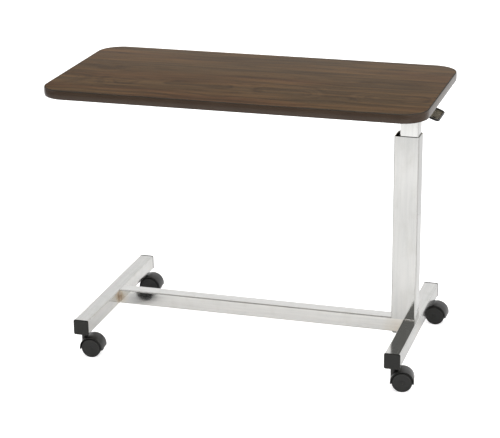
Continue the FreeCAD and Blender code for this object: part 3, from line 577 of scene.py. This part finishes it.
def end_cap(corner):
    """A moulded cap: a pillowed outer face with a rounded border, and a plug in the tube."""
    node = "end_cap_" + corner
    low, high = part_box(node)
    middle_x, middle_z = (low.x + high.x) / 2, (low.z + high.z) / 2
    half = (high.x - low.x) / 2
    if corner.startswith("front"):
        side, face, flange = -1, low.y, FRONT_FLANGE
    else:
        side, face, flange = 1, high.y, REAR_FLANGE
        half -= REAR_FLANGE_INSET
    levels = [  # half width, corner radius, distance in from the outer face
        (CAP_PLUG - 1.0 * MM, 1.0 * MM, 10.0 * MM),
        (CAP_PLUG, 1.3 * MM, 8.5 * MM),
        (CAP_PLUG, 1.3 * MM, flange),
        (half - 0.3 * MM, 2.7 * MM, flange),
        (half, 3.0 * MM, flange - 0.2 * MM),
        (half, 3.0 * MM, min(0.75 * MM, flange - 0.25 * MM)),
        (half - 0.4 * MM, 2.8 * MM, 0.35 * MM),
        (half - 1.2 * MM, 2.5 * MM, 0.1 * MM),
        (half - 2.2 * MM, 2.2 * MM, 0.0),
        (half - 5.0 * MM, 2.0 * MM, 0.0),
    ]
    rings = []
    for width, radius, depth in levels:
        outline = rounded_outline(width, width, radius, 6)
        rings.append([(middle_x + x, face - side * depth, middle_z + z) for x, z in outline])
    mesh = mesh_from_rings(node + "_moulding", rings)
    sharpen(mesh, 50)
    return add_piece("cap_" + corner, mesh, "black_plastic", "base", [node])


for corner_name in CORNERS:
    end_cap(corner_name)


# ---------------------------------------------------------------- casters

WHEEL_RADIUS = JOINTS["roll_near_front_left"]["pos_m"][2]
WHEEL_INNER = 6.5 * MM
WHEEL_OUTER = 16.5 * MM
FENDER_OUTER = 23.2 * MM
FENDER_INNER = 21.3 * MM
FENDER_HALF = 17.0 * MM
FENDER_END = -3.0 * MM   # height of the fender's ends from the axle
WEB_RADIUS = FENDER_OUTER - 0.8 * MM
WEB_HALF = 6.0 * MM
WEB_BOTTOM = -7.5 * MM   # height of the web's lower edge from the axle
NECK_RADIUS = 6.5 * MM
NECK_BOTTOM = 6.0 * MM   # height of the neck's hidden foot from the axle
TRAIL = math.dist(JOINTS["swivel_front_left"]["pos_m"][:2], JOINTS["roll_near_front_left"]["pos_m"][:2])
AT_AXLE = Matrix.Translation((TRAIL, 0, WHEEL_RADIUS))


def caster_matrix(corner):
    """Places a piece drawn with its stem on the Z axis and its axle along Y."""
    stem = Vector(JOINTS["swivel_" + corner]["pos_m"])
    axle = Vector(JOINTS["roll_near_" + corner]["pos_m"])
    turn = math.atan2(axle.y - stem.y, axle.x - stem.x)
    return Matrix.Translation((stem.x, stem.y, 0)) @ Matrix.Rotation(turn, 4, "Z")


def lathe(name, profile, steps=96):
    """A closed solid turned about the axle; the profile lists (radius, distance along the axle)."""
    rings = [[(x, y, z) for x, z in circle(radius, steps)] for radius, y in profile]
    return mesh_from_rings(name, rings)


def wheel(corner, nearness):
    """One wheel: a crowned tread with rounded shoulders, a stepped disc and a small hub button."""
    side = -1 if nearness == "near" else 1
    tread = WHEEL_RADIUS
    inner_shoulder, outer_shoulder = 1.8 * MM, 2.2 * MM
    profile = [
        (3.2 * MM, WHEEL_INNER),
        (16.5 * MM, WHEEL_INNER),
        (18.2 * MM, WHEEL_INNER + 0.2 * MM),
    ]
    profile += [(tread - inner_shoulder + r, WHEEL_INNER + 2.0 * MM + y)
                for r, y in arc(inner_shoulder, -85, 0, 5)]
    profile.append((tread, (WHEEL_INNER + WHEEL_OUTER) / 2))
    profile += [(tread - outer_shoulder + r, WHEEL_OUTER - outer_shoulder + y)
                for r, y in arc(outer_shoulder, 0, 85, 6)]
    profile += [(radius * MM, WHEEL_OUTER - depth * MM) for radius, depth in (
        (17.0, 0.0), (16.3, 0.1), (15.9, 0.7), (15.2, 0.8), (9.0, 0.55),  # the groove and the disc
        (4.6, 0.5), (4.2, 0.9), (3.6, 0.9), (3.2, 0.4), (1.2, 0.3),       # the hub button
    )]
    mesh = lathe("wheel", [(radius, side * y) for radius, y in profile])
    sharpen(mesh, 40)
    mesh.transform(caster_matrix(corner) @ AT_AXLE)
    node = f"wheel_{nearness}_{corner}"
    return add_piece(f"caster_wheel_{nearness}_{corner}", mesh, "wheel_tread", node, [node])


def plate_with_rounded_rims(name, outline, half_thickness, rim):
    """A flat outline in XZ given thickness along Y, with softened rims on both faces."""
    build = bmesh.new()
    face = build.faces.new([build.verts.new((x, -half_thickness, z)) for x, z in outline])
    pushed = bmesh.ops.extrude_face_region(build, geom=[face])
    far_side = [item for item in pushed["geom"] if isinstance(item, bmesh.types.BMVert)]
    bmesh.ops.translate(build, verts=far_side, vec=(0, 2 * half_thickness, 0))
    bmesh.ops.recalc_face_normals(build, faces=build.faces)
    rims = [edge for edge in build.edges
            if abs(edge.verts[0].co.y - edge.verts[1].co.y) < NEARLY]
    bmesh.ops.bevel(build, geom=rims, offset=rim, segments=3, profile=0.5, affect="EDGES",
                    clamp_overlap=True)
    return mesh_from(name, build)


def angle_at(height, radius):
    """Where an arc about the axle reaches a height, in degrees."""
    return math.degrees(math.asin(height / radius))


def fender_outline():
    """The arch over the wheels in side view, ending a little below the axle."""
    outer_end = angle_at(FENDER_END, FENDER_OUTER)
    inner_end = angle_at(FENDER_END, FENDER_INNER)
    return (arc(FENDER_OUTER, outer_end, 180 - outer_end, 48)
            + arc(FENDER_INNER, 180 - inner_end, inner_end, 48))


def web_outline():
    """The wall between the wheels: a half disc that reaches down past the axle."""
    end = angle_at(WEB_BOTTOM, WEB_RADIUS)
    return arc(WEB_RADIUS, end, 180 - end, 48)


def neck(top):
    """The round neck below the foot, with a small chamfered lip round the stem."""
    bottom = WHEEL_RADIUS + NECK_BOTTOM
    levels = [  # how much narrower than the neck, height
        (1.0 * MM, bottom),
        (0.1 * MM, bottom + 1.0 * MM),
        (0.0, top - 1.0 * MM),
        (0.2 * MM, top - 0.3 * MM),
        (0.7 * MM, top),
        (1.2 * MM, top),
        (1.5 * MM, top - 0.8 * MM),
        (2.4 * MM, top - 0.8 * MM),
    ]
    rings = [[(x, y, z) for x, y in circle(NECK_RADIUS - narrower, 48)] for narrower, z in levels]
    return mesh_from_rings("neck", rings)


def caster_hood(corner):
    """The moulded body: an arched fender, the web that holds the axle, and the neck round the stem."""
    node = "caster_hood_" + corner
    fender = plate_with_rounded_rims("fender", fender_outline(), FENDER_HALF, 0.7 * MM)
    web = plate_with_rounded_rims("web", web_outline(), WEB_HALF, 0.5 * MM)
    for mesh in (fender, web):
        mesh.transform(AT_AXLE)
    hood = joined("hood", [fender, web, neck(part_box(node)[1].z)])
    sharpen(hood, 40)
    hood.transform(caster_matrix(corner))
    return add_piece("hood_" + corner, hood, "caster_nylon", "caster_" + corner, [node])


for corner_name in CORNERS:
    caster_hood(corner_name)
    wheel(corner_name, "near")
    wheel(corner_name, "far")


# ---------------------------------------------------------------- release paddle

def stacked(name, centre, half, levels, steps):
    """A solid through rounded rectangles at given levels, in mm from the lever's pivot."""
    rings = []
    for inset, radius, height in levels:
        outline = rounded_outline(half[0] - inset, half[1] - inset, radius, steps)
        rings.append([((centre[0] + x) * MM, (centre[1] + y) * MM, height * MM) for x, y in outline])
    return mesh_from_rings(name, rings)


def paddle():
    """The dished paddle: a rolled rim, a smooth hollow with a slot in it, and the boss below."""
    bottom, top = PADDLE_BOTTOM, PADDLE_TOP
    centre = ((PADDLE_START + PADDLE_END) / 2, 0.0)
    half = ((PADDLE_END - PADDLE_START) / 2, PADDLE_HALF_WIDTH)
    plate = stacked("paddle_plate", centre, half, [  # inset from the outline, corner radius, height
        (1.6, 8.0, bottom),
        (0.5, 9.2, bottom + 0.3),
        (0.0, 9.6, bottom + 1.1),
        (0.0, 9.6, top - 1.2),
        (0.3, 9.3, top - 0.5),
        (0.9, 8.8, top - 0.1),
        (2.0, 7.8, top),
        (3.2, 6.8, top - 0.1),
        (3.9, 6.2, top - 0.6),
        (4.5, 5.6, top - 1.6),
        (5.2, 5.0, top - 2.0),
        (7.0, 4.0, top - 2.2),
        (14.0, 2.5, top - 2.3),
    ], 8)
    boss = stacked("paddle_boss", (34.0, 0.0), (15.0, 13.0), [
        (1.2, 2.5, -3.6),
        (0.3, 2.5, -3.2),
        (0.0, 2.5, -2.5),
        (0.0, 2.5, bottom + 0.2),
    ], 5)
    slot = stacked("paddle_slot", (39.0, -22.0), (3.0, 6.0), [
        (0.0, 1.5, bottom + 0.4),
        (0.0, 1.5, top + 1.0),
    ], 5)
    mesh = joined("paddle", [carved(plate, slot), boss])
    sharpen(mesh, 45)
    mesh.transform(Matrix.Translation(PADDLE_PIVOT) @ Matrix.Rotation(PADDLE_SLOPE, 4, "Y"))
    return add_piece("release_paddle", mesh, "paddle_plastic", "lever", ["lever_paddle"])


paddle()


# ---------------------------------------------------------------- springs

def coil_spring(node, coil_radius, turns):
    """A compression spring, coiled along the CAD spring's box."""
    low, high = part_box(node)
    wire = (high.x - low.x) / 2 - coil_radius
    axis_x, axis_y = (low.x + high.x) / 2, (low.y + high.y) / 2
    foot, top = low.z + wire, high.z - wire
    steps_per_turn = 24
    steps = turns * steps_per_turn
    rings = []
    for i in range(steps + 1):
        turn = 2 * math.pi * i / steps_per_turn
        height = foot + (top - foot) * i / steps
        rings.append([(axis_x + (coil_radius + outward) * math.cos(turn),
                       axis_y + (coil_radius + outward) * math.sin(turn), height + upward)
                      for outward, upward in circle(wire, 10)])
    mesh = mesh_from_rings(node + "_wire", rings)
    mesh.shade_smooth()
    mesh.materials.append(MATERIALS["spring_steel"])
    spring = link("coil_" + node, mesh)
    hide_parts(node)
    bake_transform(spring)


coil_spring("release_rod_spring", 3.4 * MM, 6)
coil_spring("clutch_spring", 2.8 * MM, 4)


# ---------------------------------------------------------------- weld beads

RIPPLE_LENGTH = 2.2 * MM
BASE_BEAD = 2.2 * MM
BASE_BEAD_SHORTER = 2.5 * MM  # a bead stops this far from the crossbar's upper and lower faces
COLUMN_BEAD = 1.6 * MM
COLUMN_BEAD_SHORTER = 2.0 * MM
PUDDLE_SWELL = 0.13           # shares of the bead's radius
UNEVEN_SWELL = 0.08
ROOT_DEPTH = 0.15
TAPERED_END = 0.35


def weld_bead(start, end, radius, sides):
    """A rippled bead along an inside corner: a quarter round that swells with each puddle."""
    run = end - start
    ripples = max(6, int(run.length / RIPPLE_LENGTH))
    steps = ripples * 4
    side, other = (Vector(direction) for direction in sides)
    first_angle, last_angle, facets = -8, 98, 6
    rings = []
    for i in range(steps + 1):
        t = i / steps
        puddle = PUDDLE_SWELL * abs(math.sin(math.pi * t * ripples))
        uneven = UNEVEN_SWELL * math.sin(17.3 * t + start.x * 40)
        taper = min(1.0, 6 * t + TAPERED_END, 6 * (1 - t) + TAPERED_END)
        centre = start + run * t
        ring = []
        for k in range(facets + 1):
            angle = math.radians(first_angle + (last_angle - first_angle) * k / facets)
            flattened = 0.86 + 0.14 * abs(math.cos(2 * angle))
            reach = radius * (1.0 + puddle + uneven) * taper * flattened
            ring.append(centre + side * reach * math.cos(angle) + other * reach * math.sin(angle))
        ring.append(centre - (side + other) * radius * ROOT_DEPTH)
        rings.append(ring)
    return mesh_from_rings("bead", rings)


def base_welds():
    """Four upright beads, where the crossbar meets the feet."""
    low, high = CROSSBAR_LOW, CROSSBAR_HIGH
    beads = []
    for x, inward in ((low.x, 1), (high.x, -1)):
        for y, outward in ((low.y, -1), (high.y, 1)):
            start = Vector((x, y, low.z + BASE_BEAD_SHORTER))
            end = Vector((x, y, high.z - BASE_BEAD_SHORTER))
            beads.append(weld_bead(start, end, BASE_BEAD, ((inward, 0, 0), (0, outward, 0))))
    mesh = joined("welds", beads)
    return add_piece("weld_beads_base", mesh, "chrome_left_foot", "base", ["base_welds"])


def column_foot_weld():
    """The bead along the front of the column where it stands on the right foot."""
    column_low, column_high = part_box("outer_column")
    foot_low, foot_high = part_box("right_foot")
    left = max(column_low.x, foot_low.x) + COLUMN_BEAD_SHORTER
    right = min(column_high.x, foot_high.x) - COLUMN_BEAD_SHORTER
    mesh = weld_bead(Vector((left, column_low.y, foot_high.z)), Vector((right, column_low.y, foot_high.z)),
                     COLUMN_BEAD, ((0, 0, 1), (0, -1, 0)))
    return add_piece("weld_bead_column", mesh, "chrome_left_foot", "base")


base_welds()
column_foot_weld()


# ---------------------------------------------------------------- floor, light and camera

PAPER = 0.9        # reflectance of the studio paper
UNLIT_FLOOR = 0.2  # the same, off the paper
FLOOR_REACH = 14.0


def staged(name, corners, material):
    """A flat sheet of the studio, which isn't part of the table."""
    mesh = bpy.data.meshes.new(name)
    mesh.from_pydata(corners, [], [(0, 1, 2, 3)])
    mesh.materials.append(material)
    sheet = link(name, mesh)
    return sheet


def paper_floor():
    """White studio paper. Off the paper, the floor that only mirrors see is dark, and a grey band on the paper in
    front of the table is painted shade that only mirrors see.
    """
    recipe = Recipe("studio_paper", Roughness=0.9)
    sideways = recipe.math("ABSOLUTE", recipe.axis("X"))
    forward = recipe.math("MULTIPLY", recipe.axis("Y"), -1.0)
    beside = recipe.remap(sideways, 0.0, 1.0, start=1.4, end=2.4)
    in_front = recipe.remap(forward, 0.0, 1.0, start=1.25, end=2.7)
    behind = recipe.remap(forward, 0.3, 0.0, start=-0.4, end=-0.08)
    # Painted shade: a grey band on the paper, 0.45 to 1.2 m in front, seen only by mirrors.
    painted_shade_band = recipe.math("MINIMUM", recipe.remap(forward, 0.0, 0.13, start=0.45, end=0.75),
                       recipe.remap(forward, 0.13, 0.0, start=0.95, end=1.2))
    dark_in_mirrors = beside
    for zone in (in_front, behind, painted_shade_band):
        dark_in_mirrors = recipe.math("MAXIMUM", dark_in_mirrors, zone)
    paper = recipe.mix(dark_in_mirrors, grey(PAPER), grey(UNLIT_FLOOR))
    seen = recipe.node("ShaderNodeLightPath").outputs["Is Camera Ray"]
    recipe.finish(Base_Color=recipe.mix(seen, paper, grey(PAPER)), Emission_Color=WHITE,
                  Emission_Strength=recipe.math("MULTIPLY", seen, 0.6))
    reach = FLOOR_REACH
    return staged("floor", [(-reach, -reach, 0), (reach, -reach, 0), (reach, reach, 0), (-reach, reach, 0)],
                  recipe.material)


def glowing_sheet(name, corners, recipe, glow):
    """A sheet of the studio that glows, and is hidden from everything but reflections."""
    recipe.finish(Emission_Color=glow, Emission_Strength=1.0)
    sheet = staged(name, corners, recipe.material)
    sheet.visible_camera = False
    sheet.visible_diffuse = False
    sheet.visible_shadow = False


def backdrop():
    """A sheet behind the table: bright near the floor and to the right, dark higher up."""
    behind, half, top = 0.85, 2.2, 2.6
    lit = grey(0.88)
    recipe = Recipe("studio_backdrop", Base_Color=BLACK, Roughness=1.0)
    height = recipe.remap(recipe.axis("Z"), 0.0, 1.0, 0.5, 1.0)
    glow = recipe.ramp(height, (0.15, lit), (0.43, (0.86, 0.79, 0.7, 1)), (0.53, grey(0.12)),
                       (0.72, grey(0.05)))
    beside_top = recipe.remap(recipe.axis("X"), 0.0, 1.0, 0.3, 0.38)
    glow = recipe.mix(beside_top, glow, lit)
    corners = [(-half, behind, 0), (half, behind, 0), (half, behind, top), (-half, behind, top)]
    glowing_sheet("backdrop", corners, recipe, glow)


def side_flag():
    """A grey flag beside the column, which draws a thin line down the tube corners."""
    right, front, back, top = 0.62, -0.42, 0.02, 0.7
    recipe = Recipe("studio_flag", Base_Color=BLACK, Roughness=1.0)
    corners = [(right, front, 0), (right, back, 0), (right, back, top), (right, front, top)]
    glowing_sheet("side_flag", corners, recipe, (0.68, 0.67, 0.66, 1))


def studio_world():
    """White all round, except for the unlit studio in front of the table and above its top."""
    unlit_direction = Vector((-0.15, -0.88, 0.45)).normalized()
    unlit_tone = (0.22, 0.22, 0.215, 1)
    world = bpy.data.worlds.new("studio")
    bpy.context.scene.world = world
    world.use_nodes = True
    tree = world.node_tree
    tree.nodes.clear()
    direction = tree.nodes.new("ShaderNodeTexCoord").outputs["Generated"]
    facing = tree.nodes.new("ShaderNodeVectorMath")
    facing.operation = "DOT_PRODUCT"
    facing.inputs[1].default_value = unlit_direction
    tree.links.new(direction, facing.inputs[0])
    shade = tree.nodes.new("ShaderNodeValToRGB")
    white_end, unlit_end = shade.color_ramp.elements
    white_end.position, white_end.color = 0.62, WHITE
    unlit_end.position, unlit_end.color = 0.84, unlit_tone
    tree.links.new(facing.outputs["Value"], shade.inputs[0])
    rays = tree.nodes.new("ShaderNodeLightPath")
    seen = tree.nodes.new("ShaderNodeMix")
    seen.data_type = "RGBA"
    tree.links.new(rays.outputs["Is Camera Ray"], seen.inputs[0])
    tree.links.new(shade.outputs["Color"], seen.inputs[6])
    seen.inputs[7].default_value = WHITE
    background = tree.nodes.new("ShaderNodeBackground")
    background.inputs["Strength"].default_value = 1.0
    tree.links.new(seen.outputs[2], background.inputs["Color"])
    output = tree.nodes.new("ShaderNodeOutputWorld")
    tree.links.new(background.outputs[0], output.inputs["Surface"])


def softbox(name, place, target, size, power, mirrored=True):
    """A rectangular lamp that points at a target; reflections see it only if mirrored."""
    light = bpy.data.lights.new(name, "AREA")
    light.shape = "RECTANGLE"
    light.size, light.size_y = size
    light.energy = power
    lamp = link(name, light)
    lamp.location = place
    lamp.rotation_euler = (Vector(target) - Vector(place)).to_track_quat("-Z", "Y").to_euler()
    lamp.visible_glossy = mirrored


def camera():
    """A long lens from the front right, looking down on the table."""
    place = (0.9407, -3.1384, 1.3985)
    yaw, pitch, roll = (math.radians(angle) for angle in (16.827, -19.189, -0.638))
    data = bpy.data.cameras.new("camera")
    data.sensor_width = 36.0
    data.lens = 123.17
    data.clip_end = 60.0
    view = link("camera", data)
    turn = (Matrix.Rotation(yaw, 4, "Z") @ Matrix.Rotation(math.pi / 2 + pitch, 4, "X")
            @ Matrix.Rotation(roll, 4, "Z"))
    view.matrix_world = Matrix.Translation(place) @ turn
    bpy.context.scene.camera = view


paper_floor()
backdrop()
side_flag()
studio_world()
softbox("overhead", place=(0.2, 0.1, 3.2), target=(0, 0, 0.4), size=(3.0, 2.4), power=60)
softbox("from_right", place=(3.2, -0.6, 1.6), target=(0.2, 0, 0.4), size=(1.6, 2.0), power=18)
softbox("front_fill", place=(0.6, -3.6, 1.7), target=(0, 0, 0.1), size=(2.4, 1.6), power=36, mirrored=False)
camera()
bpy.context.scene.view_settings.view_transform = "Standard"
